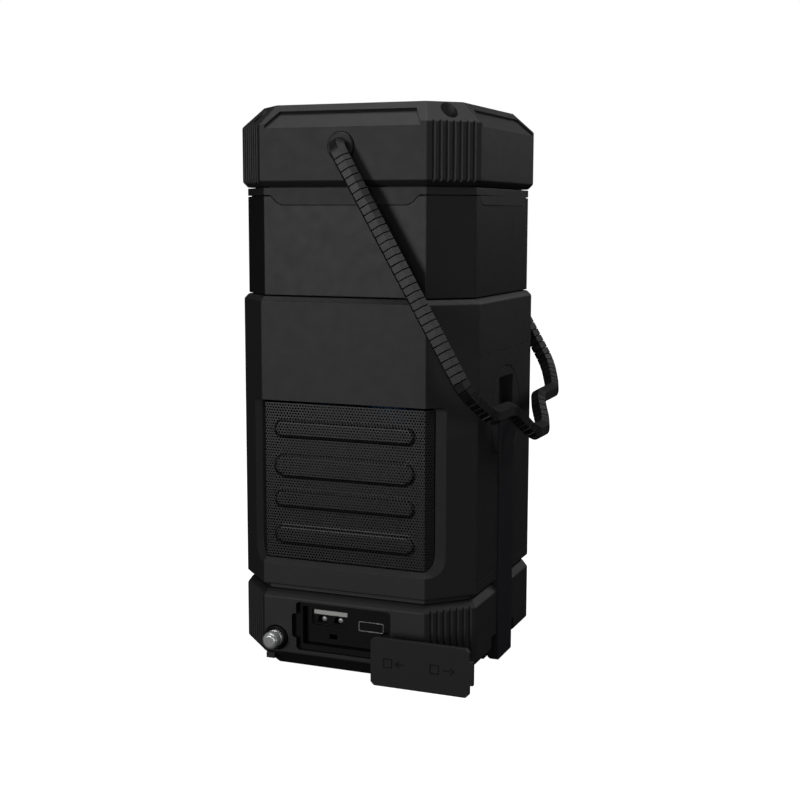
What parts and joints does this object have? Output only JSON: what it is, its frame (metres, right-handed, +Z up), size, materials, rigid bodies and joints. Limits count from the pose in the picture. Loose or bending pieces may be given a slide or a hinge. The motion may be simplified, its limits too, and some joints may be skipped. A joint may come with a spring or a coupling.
{
  "type": "crank lantern speaker",
  "caption": "Tall octagonal lantern speaker with a mesh grille, side crank, pull-out antenna, covered charging ports and a ribbed swinging handle.",
  "frame": {"origin": "middle of the flat underside, on the anti-slip pad that the lantern stands on", "axes": "+Z up the lantern, -Y out of the grille and port side, +X out of the crank side"},
  "size_m": [0.0997, 0.1008, 0.19],
  "materials": {
    "shell_plastic": "fine matt texture",
    "panel_plastic": "fine matt texture",
    "bezel_plastic": "satin",
    "arm_plastic": "satin",
    "smoked_plastic": "semi-gloss smoked",
    "window_plastic": "gloss",
    "white_plastic": "satin",
    "gear_plastic": "satin",
    "rubber_pad": "matt",
    "cover_rubber": "matt",
    "button_rubber": "matt",
    "sleeve_rubber": "satin",
    "grille_metal": "satin black paint",
    "frame_steel": "plain",
    "pin_steel": "plain",
    "screw_steel": "bright",
    "connector_steel": "bright plated",
    "antenna_chrome": "polished",
    "dynamo_steel": "copper tinted",
    "magnet_iron": "plain",
    "pinion_brass": "plain",
    "cone_black": "paper",
    "cell_wrap": "shrink wrap over a metal can",
    "board_green": "solder mask"
  },
  "bodies": {
    "lantern": {"base_pad": "rubber_pad", "base_housing": "shell_plastic", "port_bezel": "bezel_plastic", "usb_a_shell": "connector_steel", "usb_a_tongue": "white_plastic", "usb_c_shell": "connector_steel", "usb_c_tongue": "bezel_plastic", "port_board": "board_green", "body_shell": "shell_plastic", "speaker_grille": "grille_metal", "speaker_frame": "frame_steel", "speaker_cone": "cone_black", "speaker_magnet": "magnet_iron", "crank_cover_panel": "panel_plastic", "crank_hub": "panel_plastic", "crank_hinge_pin": "pin_steel", "crank_shaft": "pin_steel", "drive_gear": "gear_plastic", "dynamo_pinion": "pinion_brass", "gear_plate": "frame_steel", "dynamo": "dynamo_steel", "main_board": "board_green", "display_window": "window_plastic", "led_board": "white_plastic", "light_column": "white_plastic", "lantern_lens": "smoked_plastic", "collar_band": "shell_plastic", "top_cap": "shell_plastic", "battery_cell_1": "cell_wrap", "battery_cell_2": "cell_wrap", "cap_screw_front_right": "screw_steel", "cap_screw_back_right": "screw_steel", "cap_screw_back_left": "screw_steel", "cap_screw_front_left": "screw_steel", "antenna_socket": "bezel_plastic", "antenna_tube": "antenna_chrome", "pivot_bush_front": "bezel_plastic", "pivot_bush_back": "bezel_plastic"},
    "handle": {"bail_sleeve": "sleeve_rubber", "bail_wire": "pin_steel", "wire_retainer_front": "pin_steel", "wire_retainer_back": "pin_steel"},
    "crank": {"crank_arm": "arm_plastic", "knob_pin": "pin_steel"},
    "crank_grip": {"crank_knob": "arm_plastic"},
    "cover_stem": {"port_cover_stem": "cover_rubber"},
    "cover": {"port_cover": "cover_rubber"},
    "antenna_outer": {"antenna_section_1": "antenna_chrome"},
    "antenna_middle": {"antenna_section_2": "antenna_chrome"},
    "antenna_inner": {"antenna_section_3": "antenna_chrome", "antenna_tip": "antenna_chrome"},
    "dial": {"tuning_dial": "bezel_plastic"},
    "button_1": {"push_button_1": "button_rubber"},
    "button_2": {"push_button_2": "button_rubber"},
    "button_3": {"push_button_3": "button_rubber"},
    "button_4": {"push_button_4": "button_rubber"}
  },
  "joints": [
    {"name": "handle_swing", "type": "hinge", "parent": "lantern", "child": "handle", "pos_m": [0, 0, 0.176], "axis": [0, -1, 0], "range_deg": [0, 300]},
    {"name": "crank_fold", "type": "hinge", "parent": "lantern", "child": "crank", "pos_m": [0.04125, 0, 0.0876], "axis": [0, -1, 0], "range_deg": [0, 45]},
    {"name": "crank_grip_spin", "type": "hinge", "parent": "crank", "child": "crank_grip", "pos_m": [0.03885, 0, 0.013], "axis": [-1, 0, 0], "continuous": true},
    {"name": "cover_pull", "type": "slide", "parent": "lantern", "child": "cover_stem", "axis": [0, 1, 0], "range_m": [0, 0.0068]},
    {"name": "cover_swing", "type": "hinge", "parent": "cover_stem", "child": "cover", "pos_m": [0.0154, -0.0504, 0.0142], "axis": [0, -1, 0], "range_deg": [0, 180]},
    {"name": "antenna_pull_1", "type": "slide", "parent": "lantern", "child": "antenna_outer", "axis": [0, -1, 0], "range_m": [0, 0.064]},
    {"name": "antenna_pull_2", "type": "slide", "parent": "antenna_outer", "child": "antenna_middle", "axis": [0, -1, 0], "range_m": [0, 0.062]},
    {"name": "antenna_pull_3", "type": "slide", "parent": "antenna_middle", "child": "antenna_inner", "axis": [0, -1, 0], "range_m": [0, 0.06]},
    {"name": "dial_turn", "type": "hinge", "parent": "lantern", "child": "dial", "pos_m": [0, 0.0445, 0.062], "axis": [0, 1, 0], "continuous": true},
    {"name": "button_press_1", "type": "slide", "parent": "lantern", "child": "button_1", "axis": [0, -1, 0], "range_m": [0, 0.0008], "stiffness_N_per_m": 300, "springref_m": -0.001},
    {"name": "button_press_2", "type": "slide", "parent": "lantern", "child": "button_2", "axis": [0, -1, 0], "range_m": [0, 0.0008], "stiffness_N_per_m": 300, "springref_m": -0.001},
    {"name": "button_press_3", "type": "slide", "parent": "lantern", "child": "button_3", "axis": [0, -1, 0], "range_m": [0, 0.0008], "stiffness_N_per_m": 300, "springref_m": -0.001},
    {"name": "button_press_4", "type": "slide", "parent": "lantern", "child": "button_4", "axis": [0, -1, 0], "range_m": [0, 0.0008], "stiffness_N_per_m": 300, "springref_m": -0.001}
  ]
}
